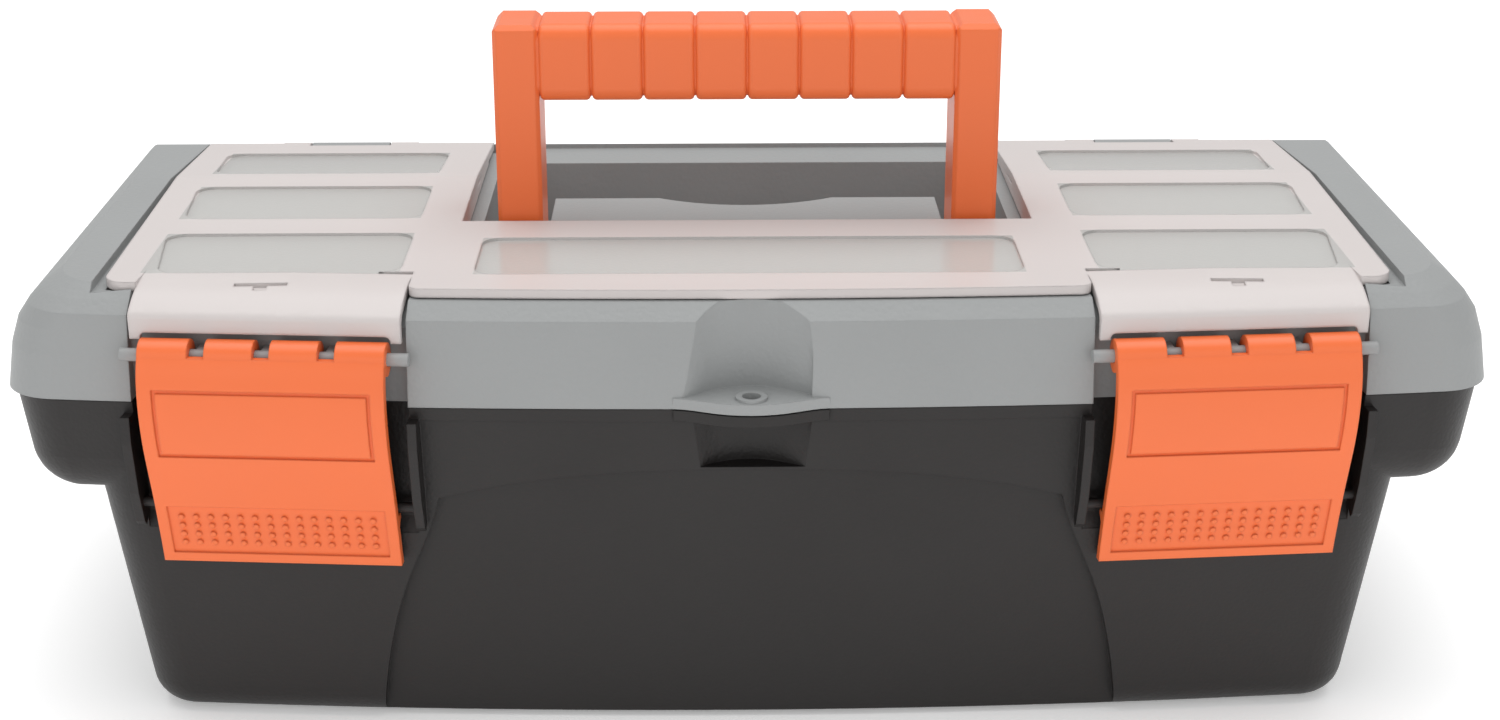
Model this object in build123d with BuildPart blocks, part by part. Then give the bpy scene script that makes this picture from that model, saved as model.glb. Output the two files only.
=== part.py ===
from build123d import *
import math
import os

os.makedirs("parts", exist_ok=True)

# Small toolbox, in millimetres. Origin: centre of the footprint, on the surface it stands on.
# +X is to the right, +Y to the back, +Z up. The tub stands at Z 0 and the lid is closed.

# ---------------------------------------------------------------- overall sizes
half_length = 160.0
front_y = -80.0
rear_y = 78.0
rim_z = 78.9
seam = 0.3
plan_corner = 13.0
bow_radius = 1380.0
# Cuts that run out through the top, bottom, front or back end beyond it at these distances.
cut_low_z = 70.0
cut_top_z = 112.0
cut_front_y = -90.0
cut_rear_y = 90.0

# ---------------------------------------------------------------- tub
tub_wall = 2.4
foot_half = 135.2
foot_front = -70.0
foot_rear = 66.0
foot_corner = 11.0
side_draft = 0.122
front_draft = 0.112
bottom_radius = 8.0
panel_depth = 2.4
cavity_knee_z = rim_z - 19.5
shoulder_z = 55.2
shoulder_half = 155.0
shoulder_inset = 2.8
shoulder_top_half = half_length - 1.6
shoulder_top_inset = 0.6
shoulder_radius = 11.0
rim_lip = 3.0
band_half = 131.0
band_cavity_half = 68.0
band_cavity_front = -75.6
band_cavity_z = 67.4
end_bay_x = 133.5
end_pocket_y = -55.0

# ---------------------------------------------------------------- lid
lid_z = rim_z + seam
lid_wall = 2.2
lid_top_z = rim_z + 24.0
# (height above the seam, step in at the ends and the back, step in at the front)
lid_steps = [
    (0.0, 0.0, 0.0),
    (9.5, 1.3, 1.0),
    (15.0, 3.0, 1.7),
    (18.5, 5.4, 2.2),
    (21.0, 7.8, 4.9),
    (lid_top_z - lid_z, 12.0, 8.0),
]
slope_start_y = 15.0
slope_drop = 4.0 / 47.0
roll_off_y = 61.5
roll_off_drop = 0.42
bin_floor_z = rim_z + 2.1
bin_half = 136.5
bin_inner = 69.0
bin_front = -64.5
bin_rear = 55.2
bin_wall = 1.8
front_bin_rear = -26.5
groove_front_y = -26.2
groove_rear_y = 10.4
groove_half = 0.9
groove_depth = 0.8
hollow_rise = 0.93
recess_half = 139.2
recess_front = -66.9
recess_rear = 63.6
middle_half = 72.1

# ---------------------------------------------------------------- organiser cover
cover_top_z = rim_z + 24.4
cover_thickness = 2.0
cover_gap = 0.3
cover_half = 138.5
cover_front = -66.3
cover_middle_front = -73.3
cover_rear = 60.0
opening_half = 65.0
opening_front = -23.0
skirt = 1.5
cover_hinge_z = rim_z + 18.4
cover_barrel = 2.3
cover_pin_radius = 1.1
cover_hinge_x = 102.0
cover_lug_width = 20.0
cover_knuckle_width = 7.0

# ---------------------------------------------------------------- latches
latch_x = 101.6
latch_width = 52.0
latch_bay = 59.0
latch_turn = 4.2
latch_plate = 2.2
rod_radius = 1.4
rod_y = -77.0
rod_z = rim_z + 11.35
barrel_radius = 3.6
notch_pitch = 13.7
notch_width = 3.6
web_width = 1.6
bar_y = -72.9
bar_z = rim_z - 23.8
bar_radius = 1.15
bay_wall_y = -70.1
lid_bay_wall_y = -72.3
sill_front_z = 48.4
sill_rear_z = 51.9
fin_width = 2.0

# ---------------------------------------------------------------- handle
pivot_y = -12.2
pivot_z = rim_z + 10.5
handle_half = 57.0
leg_width = 10.2
leg_depth = 18.0
grip_depth = 18.6
grip_low_z = rim_z + 51.5
grip_top_z = rim_z + 69.0
grip_segments = 8
handle_pin_radius = 2.4
well_half = 61.9
well_front = -23.3
well_rear = 47.0
well_floor_z = rim_z + 0.5
deck_z = rim_z + 18.5
island_half = 46.2
island_rear = 15.0
finger_depth = 6.2

# ---------------------------------------------------------------- lid hinge and padlock tabs
hinge_y = 81.6
hinge_z = rim_z + 1.7
hinge_barrel = 3.3
hinge_x = 85.0
lid_knuckle_width = 17.0
tub_knuckle_width = 6.0
hinge_pin_radius = 1.5
pin_clearance = 0.05
scoop_depth = 7.4
scoop_half = 18.0
scoop_edge = 16.5
keystone_height = 14.0
tab_reach = 4.0
tab_hole_radius = 2.0
ring_radius = 3.4
ring_height = 0.6
tab_hole_y = -80.2
tab_thickness = 2.4

# ---------------------------------------------------------------- lift-out tray
tray_half = 135.0
tray_front = -64.0
tray_rear = 62.0
tray_floor_z = 48.0
tray_top_z = rim_z - 5.5
tray_wall = 1.8
tray_ear_reach = 142.0
tray_ear_z = shoulder_z + tub_wall + 0.3
tray_post_x = 55.0
tray_spine = 3.2
tray_split = 48.0
tray_grip_z = rim_z - 2.5


def outline(half, front, rear, corner):
    """Closed plan outline: bowed front, straight ends and back, rounded corners."""
    setback = half**2 / (2 * bow_radius)
    with BuildSketch() as profile:
        with BuildLine():
            ThreePointArc((-half, front + setback), (0, front), (half, front + setback))
            Polyline((half, front + setback), (half, rear), (-half, rear), (-half, front + setback))
        make_face()
        fillet(vertices(), corner)
    return profile.sketch_local


def draw_rectangle(x_low, y_low, x_high, y_high, mode=Mode.ADD):
    """Rectangle given by its two corners, in the current sketch."""
    with Locations(((x_low + x_high) / 2, (y_low + y_high) / 2)):
        Rectangle(x_high - x_low, y_high - y_low, mode=mode)


def block(x_low, y_low, z_low, x_high, y_high, z_high, mode=Mode.ADD):
    """Box given by its two corners, in the current part."""
    with Locations(((x_low + x_high) / 2, (y_low + y_high) / 2, (z_low + z_high) / 2)):
        Box(x_high - x_low, y_high - y_low, z_high - z_low, mode=mode)


def section_plane(x):
    """Plane across the toolbox at x: sketch X is world Y, sketch Y is world Z."""
    return Plane(origin=(x, 0, 0), x_dir=(0, 1, 0), z_dir=(1, 0, 0))


def latch_section(side, across):
    """The same kind of plane, turned about the latch's rod to follow the bowed front.

    across is the distance along the rod from its middle, where sketch X is world Y.
    """
    turn = math.radians(latch_turn) * side
    along = (math.cos(turn), math.sin(turn), 0)
    return Plane(
        origin=(
            side * latch_x + rod_y * along[1] + across * along[0],
            rod_y - rod_y * along[0] + across * along[1],
            0,
        ),
        x_dir=(-along[1], along[0], 0),
        z_dir=along,
    )


def latch_face(side, y):
    """Upright plane in front of one latch, facing outwards; sketch X runs along the rod."""
    turn = math.radians(latch_turn) * side
    along = (math.cos(turn), math.sin(turn), 0)
    origin = (side * latch_x - (y - rod_y) * along[1], rod_y + (y - rod_y) * along[0], 0)
    return Plane(origin=origin, x_dir=along, z_dir=(along[1], -along[0], 0))


def tub_outline(z, inset):
    """Outline of the tub's drafted wall at height z, moved in by inset."""
    return outline(
        foot_half + side_draft * z - inset,
        foot_front - front_draft * z + inset,
        foot_rear + front_draft * z - inset,
        foot_corner - inset / 2,
    )


def lid_outline(step, inset):
    """Outline of the lid at one of its profile steps, moved in by inset."""
    height, end_step, front_step = step
    end = end_step + inset
    return outline(
        half_length - end, front_y + front_step + inset, rear_y - end, plan_corner - inset)


def scoop_outline():
    """Plan of the padlock scoop: a hollow that blends softly into the front on both sides."""
    edge = (scoop_edge, front_y + 0.05)
    with BuildSketch() as profile:
        with BuildLine():
            Spline(
                (-edge[0], edge[1]), (-12.9, front_y + 1.1), (-9.3, front_y + 4.2),
                (0, front_y + scoop_depth), (9.3, front_y + 4.2), (12.9, front_y + 1.1), edge,
                tangents=((1, 0), (1, 0)),
            )
            Polyline(edge, (edge[0], -95), (-edge[0], -95), (-edge[0], edge[1]))
        make_face()
    return profile.sketch_local


def tab_outline():
    """Plan of the padlock tab: a soft bulge in front of the scoop."""
    edge = (scoop_edge, front_y + 0.15)
    with BuildSketch() as profile:
        with BuildLine():
            Spline(
                (-edge[0], edge[1]), (-8.0, front_y - 2.6), (0, front_y - tab_reach),
                (8.0, front_y - 2.6), edge, tangents=((1, -0.1), (1, 0.1)),
            )
            ThreePointArc(edge, (0, front_y + scoop_depth + 0.8), (-edge[0], edge[1]))
        make_face()
    return profile.sketch_local


# ================================================================ tub
# The drafted box, with its front panel set back below a shallow arch.
with BuildPart() as tub_core:
    for z in (0, rim_z):
        with BuildSketch(Plane.XY.offset(z)):
            add(tub_outline(z, 0))
    loft(ruled=True)
    fillet(tub_core.faces().sort_by(Axis.Z)[0].edges(), bottom_radius)

with BuildPart() as panel_core:
    for z in (-1, rim_z + 1):
        with BuildSketch(Plane.XY.offset(z)):
            add(tub_outline(z, panel_depth))
    loft(ruled=True)

with BuildPart() as panel_recess:
    with BuildSketch(Plane.XZ.offset(-foot_front - 30)):
        with BuildLine():
            arch = Spline((-67, 57), (-48, 61.2), (-12, 64.2), (12, 64.2), (48, 61.2), (67, 57))
            right = Spline(arch @ 1, (69.5, 49), (74.5, 37), (79.2, 21), (82.5, -4))
            left = Spline(arch @ 0, (-69.5, 49), (-74.5, 37), (-79.2, 21), (-82.5, -4))
            Line(right @ 1, left @ 1)
        make_face()
    extrude(amount=80)
    add(panel_core.part, mode=Mode.SUBTRACT)

# The wide shoulder at the ends and along the back.
with BuildPart() as shoulder:
    for z, half, inset in (
        (shoulder_z, shoulder_half, shoulder_inset),
        (rim_z, shoulder_top_half, shoulder_top_inset),
    ):
        with BuildSketch(Plane.XY.offset(z)):
            add(outline(half, front_y + inset, rear_y - inset, plan_corner - inset))
    loft(ruled=True)
    fillet(shoulder.faces().sort_by(Axis.Z)[0].edges(), shoulder_radius)
    block(-band_half, front_y - 5, 0, band_half, end_pocket_y, rim_z - rim_lip, mode=Mode.SUBTRACT)

# The cavity follows the draft up to the knee and then rises straight.
with BuildPart() as tub_cavity:
    for z, draft_z in ((tub_wall, tub_wall), (cavity_knee_z, cavity_knee_z), (rim_z + 1, cavity_knee_z)):
        with BuildSketch(Plane.XY.offset(z)):
            add(tub_outline(draft_z, tub_wall + panel_depth))
    loft(ruled=True)

with BuildPart() as shoulder_cavity:
    for z, half, inset in (
        (shoulder_z + tub_wall, shoulder_half, shoulder_inset),
        (rim_z + 1, shoulder_top_half, shoulder_top_inset),
    ):
        with BuildSketch(Plane.XY.offset(z)):
            inner = inset + tub_wall
            add(outline(half - tub_wall, front_y + inner, rear_y - inner, plan_corner - inner))
    loft(ruled=True)
    fillet(shoulder_cavity.faces().sort_by(Axis.Z)[0].edges(), shoulder_radius - tub_wall)
    block(-end_bay_x, front_y, 0, end_bay_x, end_pocket_y, rim_z + 5, mode=Mode.SUBTRACT)

with BuildPart() as band_cavity:
    block(-band_cavity_half, band_cavity_front, band_cavity_z,
          band_cavity_half, end_pocket_y, rim_z + 1)
    block(-scoop_half, front_y, band_cavity_z,
          scoop_half, front_y + scoop_depth + tub_wall, rim_z + 1, mode=Mode.SUBTRACT)

with BuildPart() as tub:
    add(tub_core.part)
    add(panel_recess.part, mode=Mode.SUBTRACT)
    add(shoulder.part)
    add(tub_cavity.part, mode=Mode.SUBTRACT)
    add(shoulder_cavity.part, mode=Mode.SUBTRACT)
    add(band_cavity.part, mode=Mode.SUBTRACT)

    # Keystone below the padlock tab, and the tab itself with its hole.
    with BuildSketch(Plane.XY.offset(rim_z - keystone_height)):
        add(scoop_outline())
    extrude(amount=keystone_height - tab_thickness, mode=Mode.SUBTRACT)
    with BuildSketch(Plane.XY.offset(rim_z - tab_thickness)):
        add(tab_outline())
    extrude(amount=tab_thickness)
    with Locations((0, tab_hole_y, rim_z)):
        Cylinder(tab_hole_radius, 30, mode=Mode.SUBTRACT)

    for side in (-1, 1):
        # Latch bay: a pocket open to the front and the top, with a ramped sill.
        with BuildSketch(latch_section(side, -latch_bay / 2)):
            with BuildLine():
                Polyline(
                    (bay_wall_y - 25, sill_front_z), (bay_wall_y - 1.2, sill_front_z), (bay_wall_y, sill_rear_z),
                    (bay_wall_y, rim_z + 2), (bay_wall_y - 25, rim_z + 2), close=True,
                )
            make_face()
        extrude(amount=latch_bay, mode=Mode.SUBTRACT)

        # A fin closes each end of the bay, and the catch bar runs between the fins.
        for across in (-latch_bay / 2 - fin_width, latch_bay / 2):
            with BuildSketch(latch_section(side, across)):
                with BuildLine():
                    Polyline(
                        (bay_wall_y + 0.6, 76.4), (-78.4, 76.4), (-78.5, 70.4), (-76.6, 58.4),
                        (-74.2, 50.8), (-73.0, 49.6), (-70.6, 52.0), (bay_wall_y + 0.6, 54.4),
                        close=True,
                    )
                make_face()
            extrude(amount=fin_width)
        with BuildSketch(latch_section(side, -latch_bay / 2 - 1)):
            with Locations((bar_y, bar_z)):
                Circle(bar_radius)
        extrude(amount=latch_bay + 2)

        # Two hinge knuckles stand off the back rim.
        for offset_x in (-1, 1):
            middle = side * hinge_x + offset_x * (lid_knuckle_width + tub_knuckle_width + 0.8) / 2
            with BuildSketch(section_plane(middle - tub_knuckle_width / 2)):
                with Locations((hinge_y, hinge_z)):
                    Circle(hinge_barrel)
                with BuildLine():
                    Polyline(
                        (rear_y - 2.6, rim_z - 9), (hinge_y + 1.2, rim_z - 1.6),
                        (hinge_y, hinge_z), (rear_y - 0.2, hinge_z - 1.7), (rear_y - 2.6, rim_z),
                        close=True,
                    )
                make_face()
                with Locations((hinge_y, hinge_z)):
                    Circle(hinge_pin_radius + pin_clearance, mode=Mode.SUBTRACT)
            extrude(amount=tub_knuckle_width)
tub.part.label = "tub"


# ================================================================ lid
with BuildPart() as lid_hollow:
    # The space under the shoulders, open below, around the block of bins.
    for step in lid_steps[:-1]:
        with BuildSketch(Plane.XY.offset(lid_z + step[0] * hollow_rise - 0.1)):
            add(lid_outline(step, lid_wall))
    loft(ruled=True)
    block(-bin_half - bin_wall, bin_front - bin_wall, cut_low_z,
          bin_half + bin_wall, bin_rear + bin_wall, cut_top_z, mode=Mode.SUBTRACT)
    block(-half_length, bin_rear, rim_z + 11, half_length, cut_rear_y, cut_top_z, mode=Mode.SUBTRACT)
    for side in (-1, 1):
        middle = side * latch_x
        block(middle - latch_bay / 2 - 2.4, front_y - 5, cut_low_z,
              middle + latch_bay / 2 + 2.4, bin_front, cut_top_z, mode=Mode.SUBTRACT)
    block(-scoop_half, front_y, cut_low_z, scoop_half, bin_front, cut_top_z, mode=Mode.SUBTRACT)

with BuildPart() as lid:
    for step in lid_steps:
        with BuildSketch(Plane.XY.offset(lid_z + step[0])):
            add(lid_outline(step, 0))
    loft(ruled=True)
    add(lid_hollow.part, mode=Mode.SUBTRACT)

    # The top falls towards the back and rolls off behind the cover's hinge.
    roll_off_z = lid_top_z - slope_drop * (roll_off_y - slope_start_y)
    with BuildSketch(section_plane(-half_length)):
        with BuildLine():
            Polyline(
                (slope_start_y, lid_top_z), (roll_off_y, roll_off_z),
                (cut_rear_y, roll_off_z - roll_off_drop * (cut_rear_y - roll_off_y)),
                (cut_rear_y, cut_top_z), (slope_start_y, cut_top_z), close=True,
            )
        make_face()
    extrude(amount=2 * half_length, mode=Mode.SUBTRACT)
    # The cover lies in a recess of the same slope, open to the front in the middle.
    seat_z = cover_top_z - cover_thickness - cover_gap
    with BuildSketch(section_plane(-recess_half)):
        with BuildLine():
            Polyline(
                (recess_front, seat_z), (slope_start_y, seat_z),
                (recess_rear, seat_z - slope_drop * (recess_rear - slope_start_y)),
                (recess_rear, cut_top_z), (recess_front, cut_top_z), close=True,
            )
        make_face()
    extrude(amount=2 * recess_half, mode=Mode.SUBTRACT)
    block(-middle_half, front_y, seat_z, middle_half, recess_front + 1, cut_top_z, mode=Mode.SUBTRACT)

    # Bins: one long compartment at each end and a narrow one at the front.
    for side in (-1, 1):
        low, high = sorted((side * bin_inner, side * bin_half))
        block(low, bin_front, bin_floor_z, high, bin_rear, cut_top_z, mode=Mode.SUBTRACT)
        # Thin grooves hold the removable dividers.
        for groove_y in (groove_front_y, groove_rear_y):
            for edge_x in (side * bin_inner, side * bin_half):
                block(edge_x - groove_depth, groove_y - groove_half, bin_floor_z,
                      edge_x + groove_depth, groove_y + groove_half, cut_top_z, mode=Mode.SUBTRACT)
    block(-opening_half - 0.5, bin_front, bin_floor_z,
          opening_half + 0.5, front_bin_rear, cut_top_z, mode=Mode.SUBTRACT)

    # Handle well: the deck is lower than the cover, with two leg slots and a trough.
    block(-opening_half - skirt - 0.7, opening_front - skirt - 0.4, deck_z,
          opening_half + skirt + 0.7, recess_rear, cut_top_z, mode=Mode.SUBTRACT)
    block(-well_half - 2, well_front - 2, well_floor_z - bin_wall, well_half + 2, well_rear + 2, bin_floor_z)
    with BuildSketch(Plane.XY.offset(well_floor_z)):
        draw_rectangle(-well_half, well_front, well_half, well_rear)
        fillet(vertices(), 3)
        draw_rectangle(-island_half, well_front - 1, island_half, island_rear, mode=Mode.SUBTRACT)
        with BuildLine():
            ThreePointArc((-21, island_rear + 0.01), (0, island_rear - finger_depth),
                          (21, island_rear + 0.01))
            Line((21, island_rear + 0.01), (-21, island_rear + 0.01))
        make_face()
    extrude(amount=30, mode=Mode.SUBTRACT)

    # Underside of the island, of the walls beside the well and of the back deck.
    block(-island_half + bin_wall, well_front + bin_wall, cut_low_z,
          island_half - bin_wall, island_rear - finger_depth - bin_wall, deck_z - bin_wall, mode=Mode.SUBTRACT)
    block(-opening_half, well_rear + bin_wall, cut_low_z, opening_half, bin_rear, deck_z - bin_wall,
          mode=Mode.SUBTRACT)
    for side in (-1, 1):
        low, high = sorted((side * (well_half + 2), side * (bin_inner - bin_wall)))
        block(low, front_bin_rear + 4, cut_low_z, high, bin_rear, deck_z - bin_wall, mode=Mode.SUBTRACT)

    # Padlock scoop, tab and hole at the front.
    with BuildSketch(Plane.XY.offset(lid_z + tab_thickness)):
        add(scoop_outline())
    extrude(amount=30, mode=Mode.SUBTRACT)
    with BuildSketch(Plane.XY.offset(lid_z)):
        add(tab_outline())
    extrude(amount=tab_thickness)
    with BuildSketch(Plane.XY.offset(lid_z)):
        with Locations((0, tab_hole_y)):
            Circle(ring_radius)
    extrude(amount=tab_thickness + ring_height)
    with Locations((0, tab_hole_y, lid_z)):
        Cylinder(tab_hole_radius, 30, mode=Mode.SUBTRACT)

    for side in (-1, 1):
        # Latch bay with its rod, held by three webs.
        with BuildSketch(latch_section(side, -latch_bay / 2)):
            with BuildLine():
                Polyline(
                    (lid_bay_wall_y - 25, cut_low_z), (lid_bay_wall_y, cut_low_z), (lid_bay_wall_y, rim_z + 17),
                    (-69.6, rim_z + 19.3), (-63.9, rim_z + 21.3), (-59.5, rim_z + 21.7),
                    (-59.5, cut_top_z), (lid_bay_wall_y - 25, cut_top_z),
                    close=True,
                )
            make_face()
        extrude(amount=latch_bay, mode=Mode.SUBTRACT)
        with BuildSketch(latch_section(side, -latch_bay / 2 - 1)):
            with Locations((rod_y, rod_z)):
                Circle(rod_radius)
        extrude(amount=latch_bay + 2)
        for web in (-1, 0, 1):
            with BuildSketch(latch_section(side, web * notch_pitch - web_width / 2)):
                draw_rectangle(rod_y, rod_z - 1.2, lid_bay_wall_y + 0.6, rod_z + 1.2)
                with Locations((rod_y, rod_z)):
                    Circle(rod_radius)
            extrude(amount=web_width)

        # Hinge trough, lug and bore for the cover at the back of the bins.
        low, high = sorted((side * (opening_half - 0.6), side * recess_half))
        block(low, bin_rear + bin_wall, cover_hinge_z - 1.7, high, recess_rear, cut_top_z, mode=Mode.SUBTRACT)
        middle = side * cover_hinge_x
        half_zone = cover_lug_width / 2 + cover_knuckle_width + 2
        block(middle - half_zone, bin_rear + bin_wall, cover_hinge_z - 3.3,
              middle + half_zone, recess_rear, cut_top_z, mode=Mode.SUBTRACT)
        with BuildSketch(section_plane(middle - cover_lug_width / 2)):
            with Locations((cover_rear, cover_hinge_z)):
                Circle(cover_barrel)
            draw_rectangle(
                cover_rear - cover_barrel, cover_hinge_z - 4.4, cover_rear + cover_barrel, cover_hinge_z)
            with Locations((cover_rear, cover_hinge_z)):
                Circle(cover_pin_radius + pin_clearance, mode=Mode.SUBTRACT)
        extrude(amount=cover_lug_width)

        # Knuckle of the main hinge, and the bore for the handle's pivot pin.
        middle = side * hinge_x
        with BuildSketch(section_plane(middle - lid_knuckle_width / 2)):
            with Locations((hinge_y, hinge_z)):
                Circle(hinge_barrel)
            with BuildLine():
                Polyline(
                    (rear_y - 1.2, lid_z), (hinge_y, lid_z), (hinge_y + 1.6, hinge_z + 2.8),
                    (rear_y - 2.4, lid_z + 9), close=True,
                )
            make_face()
            with Locations((hinge_y, hinge_z)):
                Circle(hinge_pin_radius + pin_clearance, mode=Mode.SUBTRACT)
        extrude(amount=lid_knuckle_width)
        low = side * (well_half - 1) if side > 0 else side * (well_half + 2.5)
        with BuildSketch(section_plane(low)):
            with Locations((pivot_y, pivot_z)):
                Circle(handle_pin_radius + pin_clearance)
        extrude(amount=3.5, mode=Mode.SUBTRACT)
lid.part.label = "lid"


# ================================================================ organiser cover
# (front, rear, half-length at the front, half-length at the rear) of the windows at each end
side_windows = [
    (-60.0, -32.0, 126.5, 130.2),
    (-20.5, 6.0, 128.8, 130.8),
    (18.5, 45.5, 129.3, 131.0),
]
window_inner = 74.8
window_corner = 4.5
window_depth = 0.6
centre_window = (-59.0, -62.0, 59.0, -36.0)
flap_half = latch_bay / 2 - 0.8
flap_start = -60.0
lip_low_z = cover_top_z - 8.6
lip_leg_z = cover_top_z - 10.1
lip_leg_width = 2.2
mark_x = 103.3
mark_y = -66.4

cover_low_z = cover_top_z - cover_thickness
cover_drop = slope_drop * (cover_rear - slope_start_y)
slope_tilt = math.atan(slope_drop)
above = cover_top_z + 10


def window_plane(front):
    """Plane of the sunk window faces: level in front of the slope, tilted on it."""
    if front < slope_start_y:
        return Plane.XY.offset(cover_top_z - window_depth)
    return Plane(
        origin=(0, slope_start_y, cover_top_z), x_dir=(1, 0, 0),
        z_dir=(0, math.sin(slope_tilt), math.cos(slope_tilt)),
    ).offset(-window_depth)


with BuildPart() as cover:
    with BuildSketch(section_plane(-cover_half)):
        with BuildLine():
            Polyline(
                (cover_middle_front, cover_top_z), (slope_start_y, cover_top_z),
                (cover_rear, cover_top_z - cover_drop), (cover_rear, cover_low_z - cover_drop),
                (slope_start_y, cover_low_z), (cover_middle_front, cover_low_z), close=True,
            )
        make_face()
    extrude(amount=2 * cover_half)

    # Plan: the ends draw in towards the front, and the middle reaches over the front block.
    middle = middle_half - 0.3
    middle_side_y = cover_middle_front + middle**2 / (2 * bow_radius)
    with BuildSketch(Plane.XY.offset(cut_low_z)):
        with BuildLine():
            ThreePointArc((-middle, middle_side_y), (0, cover_middle_front), (middle, middle_side_y))
            for side in (-1, 1):
                Polyline(
                    (side * middle, middle_side_y), (side * middle, flap_start),
                    (side * 120, flap_start), (side * 120, cover_front),
                    (side * (cover_half - 1.8), cover_front), (side * cover_half, cover_rear),
                )
            Line((-cover_half, cover_rear), (cover_half, cover_rear))
        make_face()
        fillet(vertices().group_by(Axis.Y)[0], 2.5)
        fillet(vertices().filter_by_position(Axis.Y, cover_front - 0.1, cover_front + 0.1)
               .sort_by(Axis.X)[0], 5)
        fillet(vertices().filter_by_position(Axis.Y, cover_front - 0.1, cover_front + 0.1)
               .sort_by(Axis.X)[-1], 5)
    extrude(amount=above - cut_low_z, mode=Mode.INTERSECT)

    # Opening over the handle, with a short skirt around its edge.
    block(-opening_half, opening_front, cut_low_z, opening_half, cut_rear_y, above, mode=Mode.SUBTRACT)
    for side in (-1, 1):
        low, high = sorted((side * opening_half, side * (opening_half + skirt)))
        block(low, opening_front - skirt, deck_z + 0.6, high, 44, cover_low_z - 0.9)
        block(low, opening_front - skirt, deck_z + 0.6, high, slope_start_y, cover_low_z + 0.1)
    block(-opening_half, opening_front - skirt, deck_z + 0.6,
          opening_half, opening_front, cover_low_z + 0.1)

    # Two flaps flow from the plate over the latches and turn down into a lip with two legs.
    for side in (-1, 1):
        with BuildSketch(latch_section(side, -flap_half)):
            draw_rectangle(cut_front_y, cut_low_z, flap_start, above)
        extrude(amount=2 * flap_half, mode=Mode.SUBTRACT)
        with BuildSketch(latch_section(side, -flap_half)):
            with BuildLine():
                top = Spline(
                    (flap_start + 0.2, cover_top_z), (-66.0, cover_top_z - 0.5),
                    (-71.2, cover_top_z - 2.0), (-74.6, cover_top_z - 3.9),
                    (-75.8, cover_top_z - 5.6), tangents=((-1, 0), (-0.05, -1)),
                )
                lip = Line(top @ 1, (-75.6, lip_leg_z))
                edge = Line(lip @ 1, (-74.1, lip_leg_z))
                inside = Line(edge @ 1, (-74.1, cover_top_z - 6.2))
                under = Spline(
                    inside @ 1, (-70.4, cover_top_z - 3.9), (-65.6, cover_top_z - 2.4),
                    (flap_start + 0.2, cover_low_z), tangents=((0.3, 1), (1, 0)),
                )
                Line(under @ 1, top @ 0)
            make_face()
        extrude(amount=2 * flap_half)
        with BuildSketch(latch_face(side, cut_front_y)):
            draw_rectangle(
                -flap_half + lip_leg_width, cut_low_z, flap_half - lip_leg_width, lip_low_z)
            fillet(vertices(), 1.2)
        extrude(amount=-20, mode=Mode.SUBTRACT)

        # A shallow T marks the middle of each flap.
        with BuildSketch(Plane.XY.offset(cover_top_z - 1.5)):
            centre = side * mark_x
            draw_rectangle(centre - 5.6, mark_y - 0.6, centre + 5.6, mark_y + 0.6)
            draw_rectangle(centre - 1.4, mark_y - 2.2, centre + 1.4, mark_y)
        extrude(amount=5, mode=Mode.SUBTRACT)

    # Clear windows lie a little below the frosted frame.
    for window_front, window_rear, front_half, rear_half in side_windows:
        plane = window_plane(window_front)
        shift = slope_start_y if window_front > slope_start_y else 0
        for side in (-1, 1):
            with BuildSketch(plane):
                with BuildLine():
                    Polyline(
                        (side * window_inner, window_front - shift),
                        (side * front_half, window_front - shift),
                        (side * rear_half, window_rear - shift),
                        (side * window_inner, window_rear - shift), close=True,
                    )
                make_face()
                fillet(vertices(), window_corner)
            extrude(amount=5, mode=Mode.SUBTRACT)
    with BuildSketch(Plane.XY.offset(cover_top_z - window_depth)):
        draw_rectangle(*centre_window)
        fillet(vertices(), window_corner)
    extrude(amount=5, mode=Mode.SUBTRACT)

    # Hinge: the plate is cut away around the lid's lug, and two knuckles carry the pin.
    for side in (-1, 1):
        middle = side * cover_hinge_x
        half_lug = cover_lug_width / 2
        block(middle - half_lug - 0.4, cover_rear - 3.2, cut_low_z,
              middle + half_lug + 0.4, cut_rear_y, above, mode=Mode.SUBTRACT)
        for direction in (-1, 1):
            start = middle + direction * (half_lug + 0.4)
            low = min(start, start + direction * cover_knuckle_width)
            with BuildSketch(section_plane(low)):
                with Locations((cover_rear, cover_hinge_z)):
                    Circle(cover_barrel)
                draw_rectangle(cover_rear - cover_barrel, cover_hinge_z, cover_rear, cover_hinge_z + 1.3)
            extrude(amount=cover_knuckle_width)
        half_zone = half_lug + cover_knuckle_width + 1
        with BuildSketch(section_plane(middle - half_zone)):
            with Locations((cover_rear, cover_hinge_z)):
                Circle(cover_pin_radius + pin_clearance)
        extrude(amount=2 * half_zone, mode=Mode.SUBTRACT)
cover.part.label = "organiser_cover"


# ================================================================ latches
# Relief on the face, as (low X, low Z, high X, high Z): a framing groove and a dotted grip.
groove_outside = (-23.0, 68.8, 23.0, 84.4)
groove_inside = (-22.2, 69.6, 22.2, 83.6)
grip_panel = (-23.6, 43.8, 23.6, 55.8)
dot_pitch_x = 3.2
dot_pitch_z = 2.2
dot_columns = 14
dot_rows = 4
dot_radius = 0.65
latch_curve = [
    (-80.6, 90.7), (-82.1, 87.0), (-82.7, 82.6), (-81.8, 72.1),
    (-78.4, 60.0), (-76.0, 50.9), (-73.9, 41.6),
]


def plate_profile(front_shift, back_shift):
    """Section of the latch plate between two copies of its front curve."""
    with BuildSketch() as profile:
        with BuildLine():
            outer = Spline(*[(y + front_shift, z) for y, z in latch_curve])
            inner = Spline(*[(y + back_shift, z) for y, z in latch_curve])
            Line(outer @ 1, inner @ 1)
            Line(inner @ 0, outer @ 0)
        make_face()
    return profile.sketch_local


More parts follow.
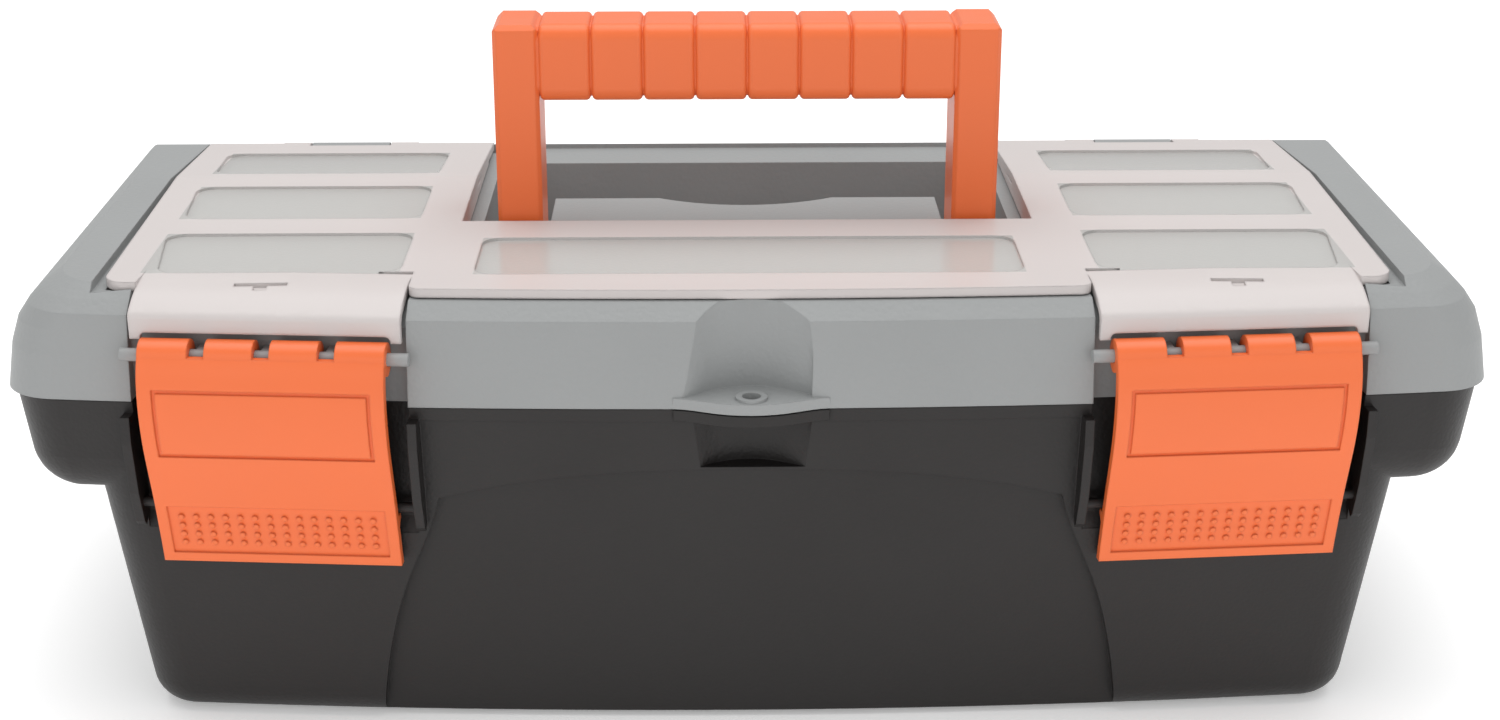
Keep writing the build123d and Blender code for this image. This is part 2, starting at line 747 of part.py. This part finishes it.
def make_latch(side):
    """One snap latch: a curved plate with a clip barrel on top and a hook ridge behind."""

    start = latch_section(side, -latch_width / 2)
    with BuildPart() as surface_relief:
        # A thin skin at the front face, kept only where the face is sunk.
        with BuildSketch(start):
            add(plate_profile(-1.5, 0.5))
        extrude(amount=latch_width)
        with BuildSketch(latch_face(side, cut_front_y)):
            draw_rectangle(*groove_outside)
            draw_rectangle(*groove_inside, mode=Mode.SUBTRACT)
            draw_rectangle(*grip_panel)
            with Locations((0, (grip_panel[1] + grip_panel[3]) / 2)):
                with GridLocations(dot_pitch_x, dot_pitch_z, dot_columns, dot_rows):
                    Circle(dot_radius, mode=Mode.SUBTRACT)
        extrude(amount=-30, mode=Mode.INTERSECT)

    with BuildPart() as latch:
        with BuildSketch(start):
            add(plate_profile(0, latch_plate))
            with Locations((rod_y, rod_z)):
                Circle(barrel_radius)
            draw_rectangle(-80.4, rod_z - 2.4, rod_y, rod_z)
            # The hook ridge sits under the catch bar.
            with BuildLine():
                Polyline(
                    (-75.4, 53.6), (-72.4, 53.5), (-72.2, 52.6), (-74.8, 49.8), (-75.4, 49.8),
                    close=True,
                )
            make_face()
            with Locations((rod_y, rod_z)):
                Circle(rod_radius + pin_clearance, mode=Mode.SUBTRACT)
        extrude(amount=latch_width)
        # Three notches clear the webs that hold the rod.
        for web in (-1, 0, 1):
            with BuildSketch(latch_section(side, web * notch_pitch - notch_width / 2)):
                draw_rectangle(cut_front_y, rod_z + 0.6, -70, rod_z + 8)
                draw_rectangle(rod_y - 2.1, rod_z - 8, -70, rod_z + 8)
            extrude(amount=notch_width, mode=Mode.SUBTRACT)
        add(surface_relief.part, mode=Mode.SUBTRACT)
    return latch


for side, name in ((-1, "latch_left"), (1, "latch_right")):
    latch = make_latch(side)
    latch.part.label = name
    export_step(latch.part, f"parts/{name}.step")


# ================================================================ handle
with BuildPart() as handle:
    for side in (-1, 1):
        low = min(side * handle_half, side * (handle_half - leg_width))
        with BuildSketch(section_plane(low)):
            with Locations((pivot_y, pivot_z)):
                Circle(leg_depth / 2 - 0.4)
            draw_rectangle(pivot_y - leg_depth / 2, pivot_z, pivot_y + leg_depth / 2, grip_top_z)
        extrude(amount=leg_width)
    chamfer(handle.edges().filter_by(Axis.Z), 0.9)
    chamfer(handle.edges().filter_by(Axis.Y).group_by(Axis.Z)[-1], 1.4)
    chamfer(handle.edges().filter_by(Axis.X).group_by(Axis.Z)[-1], 1.2)
    # The core of the grip, and the row of soft-edged cushions that swell over it.
    grip_middle = (pivot_y, (grip_low_z + grip_top_z) / 2)
    grip_height = grip_top_z - grip_low_z
    with BuildSketch(section_plane(-handle_half + leg_width / 2)):
        with Locations(grip_middle):
            RectangleRounded(grip_depth - 1.6, grip_height - 1.6, 3)
    extrude(amount=2 * handle_half - leg_width)

cushion_pitch = 2 * (handle_half - leg_width) / grip_segments
with BuildPart() as cushion:
    with BuildSketch(section_plane(-cushion_pitch / 2 + 0.15)):
        with Locations(grip_middle):
            RectangleRounded(grip_depth, grip_height, 3.2)
    extrude(amount=cushion_pitch - 0.3)
    ends = cushion.faces().filter_by(Axis.X)
    fillet(ends.edges(), 1.1)

with BuildPart() as finished_handle:
    add(handle.part)
    for index in range(grip_segments):
        with Locations(((index - (grip_segments - 1) / 2) * cushion_pitch, 0, 0)):
            add(cushion.part)
    for side in (-1, 1):
        low = min(side * handle_half, side * (handle_half - leg_width)) - 1
        with BuildSketch(section_plane(low)):
            with Locations((pivot_y, pivot_z)):
                Circle(handle_pin_radius + pin_clearance)
        extrude(amount=leg_width + 2, mode=Mode.SUBTRACT)
finished_handle.part.label = "handle"


# ================================================================ pins
def make_pin(middle_x, y, z, radius, length):
    """Plain pin along X with softened ends."""
    with BuildPart() as pin:
        with BuildSketch(section_plane(middle_x - length / 2)):
            with Locations((y, z)):
                Circle(radius)
        extrude(amount=length)
        chamfer(pin.edges(), radius / 5)
    return pin


for side, word in ((-1, "left"), (1, "right")):
    pins = {
        f"lid_hinge_pin_{word}": make_pin(side * hinge_x, hinge_y, hinge_z, hinge_pin_radius, 29.6),
        f"cover_hinge_pin_{word}": make_pin(
            side * cover_hinge_x, cover_rear, cover_hinge_z, cover_pin_radius, 34.0),
        f"handle_pin_{word}": make_pin(side * 56.0, pivot_y, pivot_z, handle_pin_radius, 15.4),
    }
    for name, pin in pins.items():
        pin.part.label = name
        export_step(pin.part, f"parts/{name}.step")


# ================================================================ removable bin dividers
divider_top_z = rim_z + 17.5
for side, word in ((-1, "left"), (1, "right")):
    for groove_y, place in ((groove_front_y, "front"), (groove_rear_y, "rear")):
        low, high = sorted((side * (bin_inner - 0.5), side * (bin_half + 0.5)))
        with BuildPart() as divider:
            block(low, groove_y - 0.6, bin_floor_z + 0.05, high, groove_y + 0.6, divider_top_z)
            fillet(divider.edges().filter_by(Axis.Y).group_by(Axis.Z)[-1], 1.5)
        divider.part.label = f"bin_divider_{word}_{place}"
        export_step(divider.part, f"parts/bin_divider_{word}_{place}.step")


# ================================================================ lift-out tray
with BuildPart() as tray:
    with BuildSketch(Plane.XY.offset(tray_floor_z)):
        add(outline(tray_half - 2, tray_front + 2, tray_rear - 2, 10))
    with BuildSketch(Plane.XY.offset(tray_top_z)):
        add(outline(tray_half, tray_front, tray_rear, 10))
    loft(ruled=True)
    # Ears at the ends rest on the step of the tub's shoulder.
    block(-tray_ear_reach, -38, tray_ear_z, tray_ear_reach, 38, tray_ear_z + 2)
    # A spine runs between two rows of compartments and has a finger slot in its middle.
    rows = ((tray_front + 8, -tray_spine / 2), (tray_spine / 2, tray_rear - 4))
    with BuildSketch(Plane.XY.offset(tray_floor_z + tray_wall)):
        for low_y, high_y in rows:
            with Locations((0, (low_y + high_y) / 2)):
                RectangleRounded(2 * tray_half - 8, high_y - low_y, 4)
    extrude(amount=40, mode=Mode.SUBTRACT)
    block(-tray_post_x, -tray_spine / 2, tray_top_z - 1, tray_post_x, tray_spine / 2, tray_grip_z)
    block(-tray_post_x + 10, -tray_spine, tray_floor_z + 11, tray_post_x - 10, tray_spine, tray_grip_z - 5,
          mode=Mode.SUBTRACT)
    # Fixed walls part the front row in three; slots in the rear row take loose dividers.
    for side in (-1, 1):
        block(side * tray_split - tray_wall / 2, tray_front + 7, tray_floor_z + 1,
              side * tray_split + tray_wall / 2, 0, tray_top_z - 2)
        for edge_y in (tray_spine / 2, tray_rear - 4):
            block(side * tray_split - 0.9, edge_y - 0.8, tray_floor_z + tray_wall,
                  side * tray_split + 0.9, edge_y + 0.8, tray_top_z + 1, mode=Mode.SUBTRACT)
tray.part.label = "tray"

for side, word in ((-1, "left"), (1, "right")):
    with BuildPart() as divider:
        block(side * tray_split - 0.6, tray_spine / 2 - 0.5, tray_floor_z + tray_wall + 0.05,
              side * tray_split + 0.6, tray_rear - 3.5, tray_top_z - 2)
    divider.part.label = f"tray_divider_{word}"
    export_step(divider.part, f"parts/tray_divider_{word}.step")

for piece in (tub, lid, cover, finished_handle, tray):
    export_step(piece.part, f"parts/{piece.part.label}.step")
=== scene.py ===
import math

import bpy
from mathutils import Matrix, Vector

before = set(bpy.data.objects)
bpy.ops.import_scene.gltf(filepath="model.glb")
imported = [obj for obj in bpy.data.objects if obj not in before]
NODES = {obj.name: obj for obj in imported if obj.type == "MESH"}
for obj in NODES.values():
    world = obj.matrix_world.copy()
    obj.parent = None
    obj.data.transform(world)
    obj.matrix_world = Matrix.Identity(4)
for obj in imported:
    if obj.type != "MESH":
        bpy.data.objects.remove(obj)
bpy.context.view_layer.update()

# ---------------------------------------------------------------- sizes and places, in metres
# The cover's clear windows: their spans from front to back, and along the box. Those at the
# ends are mirrored, so their span along the box is measured from the middle.
END_WINDOW_ROWS = [(-0.0600, -0.0320), (-0.0205, 0.0060), (0.0185, 0.0455)]
END_WINDOW_SPAN = (0.0748, 0.1300)
MIDDLE_WINDOW_ROWS = [(-0.0620, -0.0360)]
MIDDLE_WINDOW_SPAN = (-0.0590, 0.0590)
WINDOW_SOFTNESS = 0.0003

FLOOR_HALF = 6.0
FLOOR_GLOW = 0.25
STUDIO_BRIGHTNESS = 0.62
LIT_POINT = Vector((0, 0, 0.07))

CAMERA_PLACE = (-0.0075, -0.5484, 0.2625)
CAMERA_DOWN = math.radians(20.2)
CAMERA_TURN = math.radians(-0.88)
SENSOR_WIDTH = 36.0
LENS = 57.6
CLIP_START = 0.01


# ---------------------------------------------------------------- small node helpers
class Shader:
    """A material's node tree with short calls for the nodes used here."""

    def __init__(self, name):
        self.material = bpy.data.materials.new(name)
        self.material.use_nodes = True
        self.tree = self.material.node_tree
        self.tree.nodes.clear()
        self.output = self.tree.nodes.new("ShaderNodeOutputMaterial")
        self.surface = self.tree.nodes.new("ShaderNodeBsdfPrincipled")
        self.link(self.surface.outputs["BSDF"], self.output.inputs["Surface"])
        self.object_space = self.tree.nodes.new("ShaderNodeTexCoord").outputs["Object"]

    def link(self, source, target):
        """Join an output socket to an input socket."""
        self.tree.links.new(source, target)

    def feed(self, value, target):
        """Link a socket, or set a plain number."""
        if isinstance(value, bpy.types.NodeSocket):
            self.link(value, target)
        else:
            target.default_value = value

    def noise(self, size, detail):
        """Noise whose features are about size metres across."""
        node = self.tree.nodes.new("ShaderNodeTexNoise")
        node.inputs["Scale"].default_value = 1.0 / size
        node.inputs["Detail"].default_value = detail
        self.link(self.object_space, node.inputs["Vector"])
        return node.outputs["Fac"]

    def pebbles(self, size):
        """Rounded cells about size metres across, high in their middles."""
        node = self.tree.nodes.new("ShaderNodeTexVoronoi")
        node.feature = "SMOOTH_F1"
        node.inputs["Scale"].default_value = 1.0 / size
        node.inputs["Smoothness"].default_value = 0.6
        self.link(self.object_space, node.inputs["Vector"])
        return self.math("SUBTRACT", 1.0, node.outputs["Distance"])

    def math(self, operation, first, second=0.0):
        """One arithmetic step on sockets or plain numbers."""
        node = self.tree.nodes.new("ShaderNodeMath")
        node.operation = operation
        self.feed(first, node.inputs[0])
        self.feed(second, node.inputs[1])
        return node.outputs[0]

    def remap(self, value, low, high, new_low, new_high):
        """Carry low..high over to new_low..new_high, and hold it there outside."""
        node = self.tree.nodes.new("ShaderNodeMapRange")
        node.clamp = True
        self.feed(value, node.inputs["Value"])
        node.inputs["From Min"].default_value = low
        node.inputs["From Max"].default_value = high
        node.inputs["To Min"].default_value = new_low
        node.inputs["To Max"].default_value = new_high
        return node.outputs["Result"]

    def blend(self, factor, first, second):
        """Mix two colours."""
        node = self.tree.nodes.new("ShaderNodeMix")
        node.data_type = "RGBA"
        self.feed(factor, node.inputs["Factor"])
        self.feed(first, node.inputs["A"])
        self.feed(second, node.inputs["B"])
        return node.outputs["Result"]

    def bump(self, height, distance, below=None):
        """A normal raised by height times distance, on top of the normal below."""
        node = self.tree.nodes.new("ShaderNodeBump")
        node.inputs["Distance"].default_value = distance
        self.link(height, node.inputs["Height"])
        if below:
            self.link(below, node.inputs["Normal"])
        return node.outputs["Normal"]

    def soft_edges(self, radius):
        """A normal that rounds sharp edges by radius, and a mask that is 1 on those edges."""
        node = self.tree.nodes.new("ShaderNodeBevel")
        node.samples = 4
        node.inputs["Radius"].default_value = radius
        flat = self.tree.nodes.new("ShaderNodeNewGeometry").outputs["Normal"]
        dot = self.tree.nodes.new("ShaderNodeVectorMath")
        dot.operation = "DOT_PRODUCT"
        self.link(node.outputs["Normal"], dot.inputs[0])
        self.link(flat, dot.inputs[1])
        return node.outputs["Normal"], self.remap(dot.outputs["Value"], 0.97, 0.75, 0.0, 1.0)

    def finish(self, color, roughness, normal=None, **plain):
        """Set the shader: linked or plain colour and roughness, and plain values by socket name."""
        self.feed(color, self.surface.inputs["Base Color"])
        self.feed(roughness, self.surface.inputs["Roughness"])
        if normal:
            self.link(normal, self.surface.inputs["Normal"])
        for name, value in plain.items():
            self.surface.inputs[name.replace("_", " ")].default_value = value
        return self.material


def rgb(red, green, blue):
    """sRGB 0-255 to a linear colour."""
    channels = []
    for value in (red, green, blue):
        value /= 255
        channels.append(value / 12.92 if value <= 0.04045 else ((value + 0.055) / 1.055) ** 2.4)
    return (*channels, 1.0)


def shade(color, factor):
    """A colour made darker or lighter."""
    return (*(min(channel * factor, 1.0) for channel in color[:3]), 1.0)


# ---------------------------------------------------------------- materials
def moulded_plastic(name, color, grain, grain_depth, roughness, **plain):
    """Injection moulding with a pebble grain, faint clouds in colour and gloss, and painted
    highlights on its edges.
    """
    shader = Shader(name)
    cloud = shader.noise(0.03, detail=4)
    rounded, edge = shader.soft_edges(0.0004)
    normal = shader.bump(shader.pebbles(grain), grain_depth, below=rounded)
    normal = shader.bump(shader.noise(grain * 0.45, detail=2), grain_depth * 0.4, below=normal)
    tone = shader.blend(cloud, shade(color, 0.94), shade(color, 1.06))
    # Painted highlight: sharp edges made lighter, broken up by noise patches, as if they catch the
    # light.
    patches = shader.remap(shader.noise(0.008, detail=4), 0.35, 0.65, 0.2, 1.0)
    painted_edge_highlight = shader.math("MULTIPLY", edge, patches)
    tone = shader.blend(shader.math("MULTIPLY", painted_edge_highlight, 0.5), tone, shade(color, 1.35))
    gloss = shader.remap(cloud, 0.3, 0.7, roughness - 0.04, roughness + 0.05)
    return shader.finish(tone, gloss, normal, **plain)


def smooth_plastic(name, color, roughness):
    """Satin moulding: fine surface unevenness, flow clouds and a painted highlight that makes its
    edges slightly paler.
    """
    shader = Shader(name)
    cloud = shader.noise(0.02, detail=4)
    rounded, edge = shader.soft_edges(0.0006)
    normal = shader.bump(shader.noise(0.0006, detail=3), 0.00001, below=rounded)
    normal = shader.bump(shader.noise(0.012, detail=2), 0.00006, below=normal)
    tone = shader.blend(cloud, shade(color, 0.96), color)
    # Painted highlight: edges made paler, as if they catch the light.
    tone = shader.blend(shader.math("MULTIPLY", edge, 0.35), tone, shade(color, 1.25))
    gloss = shader.remap(cloud, 0.3, 0.7, roughness - 0.03, roughness + 0.04)
    return shader.finish(tone, gloss, normal)


def steel_wire(name):
    """Drawn steel with fine uneven scratches."""
    shader = Shader(name)
    scratches = shader.noise(0.0008, detail=4)
    tone = shader.blend(scratches, rgb(150, 150, 152), rgb(196, 196, 198))
    return shader.finish(tone, 0.34, shader.bump(scratches, 0.00003), Metallic=1.0)


def frosted_with_windows(name, frost, clear):
    """Frosted moulding whose windows, sunk a little below its top, are polished and see-through."""
    shader = Shader(name)
    axes = shader.tree.nodes.new("ShaderNodeSeparateXYZ")
    shader.link(shader.object_space, axes.inputs["Vector"])
    along, across = axes.outputs["X"], axes.outputs["Y"]
    zones = [
        (shader.math("ABSOLUTE", along), END_WINDOW_SPAN, END_WINDOW_ROWS),
        (along, MIDDLE_WINDOW_SPAN, MIDDLE_WINDOW_ROWS),
    ]
    # The mask is 1 on the windows and 0 on the frosted frame.
    mask = 0.0
    for length, span, rows in zones:
        in_span = band(shader, length, *span)
        for row in rows:
            here = shader.math("MULTIPLY", in_span, band(shader, across, *row))
            mask = shader.math("MAXIMUM", mask, here)
    cloud = shader.noise(0.02, detail=4)
    rounded, edge = shader.soft_edges(0.0008)
    normal = shader.bump(shader.noise(0.0009, detail=3), 0.00003, below=rounded)
    tone = shader.blend(cloud, shade(frost, 0.97), frost)
    # Painted highlight: the frame's edges made paler, as if they catch the light.
    tone = shader.blend(shader.math("MULTIPLY", edge, 0.5), tone, shade(frost, 1.12))
    tone = shader.blend(mask, tone, clear)
    gloss = shader.remap(mask, 0.0, 1.0, 0.42, 0.12)
    opacity = shader.remap(mask, 0.0, 1.0, 0.92, 0.62)
    shader.link(opacity, shader.surface.inputs["Alpha"])
    return shader.finish(tone, gloss, normal)


def band(shader, value, low, high):
    """1 between low and high, with soft ends."""
    rise = shader.remap(value, low - WINDOW_SOFTNESS, low + WINDOW_SOFTNESS, 0.0, 1.0)
    fall = shader.remap(value, high - WINDOW_SOFTNESS, high + WINDOW_SOFTNESS, 1.0, 0.0)
    return shader.math("MULTIPLY", rise, fall)


grey = moulded_plastic(
    "grey_moulding", rgb(146, 148, 148), grain=0.0011, grain_depth=0.00006, roughness=0.5)
black = moulded_plastic(
    "black_moulding", rgb(28, 25, 24), grain=0.0009, grain_depth=0.00005, roughness=0.46,
    Specular_IOR_Level=0.4)
tray_black = moulded_plastic(
    "tray_moulding", rgb(40, 38, 37), grain=0.0009, grain_depth=0.00003, roughness=0.5)
divider_grey = moulded_plastic(
    "divider_moulding", rgb(160, 162, 162), grain=0.0009, grain_depth=0.00002, roughness=0.45)
orange = smooth_plastic("orange_moulding", rgb(234, 110, 54), roughness=0.38)
frosted = frosted_with_windows(
    "frosted_moulding", frost=rgb(207, 200, 198), clear=rgb(214, 213, 210))
steel = steel_wire("steel_wire")

NODE_MATERIAL = {
    "tub": black, "lid": grey, "organiser_cover": frosted,
    "latch_left": orange, "latch_right": orange, "handle": orange, "tray": tray_black,
}
for name, node in NODES.items():
    if name in NODE_MATERIAL:
        material = NODE_MATERIAL[name]
    elif "divider" in name:
        material = divider_grey
    elif name.startswith("handle_pin"):
        material = orange
    else:
        material = steel
    for index in range(len(node.data.materials)):
        node.data.materials[index] = material

# ---------------------------------------------------------------- floor, light and camera
floor_mesh = bpy.data.meshes.new("floor")
floor_corners = [(x * FLOOR_HALF, y * FLOOR_HALF, 0) for x, y in ((-1, -1), (1, -1), (1, 1), (-1, 1))]
floor_mesh.from_pydata(floor_corners, [], [(0, 1, 2, 3)])
floor = bpy.data.objects.new("floor", floor_mesh)
bpy.context.scene.collection.objects.link(floor)
floor_shader = Shader("floor_white")
floor_mesh.materials.append(floor_shader.finish(
    rgb(250, 250, 250), 0.7, Emission_Color=(1, 1, 1, 1), Emission_Strength=FLOOR_GLOW))

world = bpy.data.worlds.new("studio")
bpy.context.scene.world = world
world.use_nodes = True
background = world.node_tree.nodes["Background"]
background.inputs["Color"].default_value = (1, 1, 1, 1)
background.inputs["Strength"].default_value = STUDIO_BRIGHTNESS


def softbox(name, place, width, height, watts):
    """A rectangular lamp at place, turned to the object's middle."""
    data = bpy.data.lights.new(name, "AREA")
    data.shape = "RECTANGLE"
    data.size = width
    data.size_y = height
    data.energy = watts
    lamp = bpy.data.objects.new(name, data)
    bpy.context.scene.collection.objects.link(lamp)
    lamp.location = place
    lamp.rotation_euler = (LIT_POINT - Vector(place)).to_track_quat("-Z", "Y").to_euler()


softbox("overhead", (0, 0.15, 1.3), width=1.6, height=1.2, watts=13.5)
softbox("front_left", (-0.8, -1.3, 0.6), width=1.0, height=0.8, watts=2.6)
softbox("front_right", (0.8, -1.3, 0.6), width=1.0, height=0.8, watts=2.1)

camera_data = bpy.data.cameras.new("camera")
camera_data.sensor_width = SENSOR_WIDTH
camera_data.lens = LENS
camera_data.clip_start = CLIP_START
camera = bpy.data.objects.new("camera", camera_data)
bpy.context.scene.collection.objects.link(camera)
camera.location = CAMERA_PLACE
camera.rotation_euler = (math.pi / 2 - CAMERA_DOWN, 0, CAMERA_TURN)
bpy.context.scene.camera = camera
bpy.context.scene.view_settings.view_transform = "Standard"
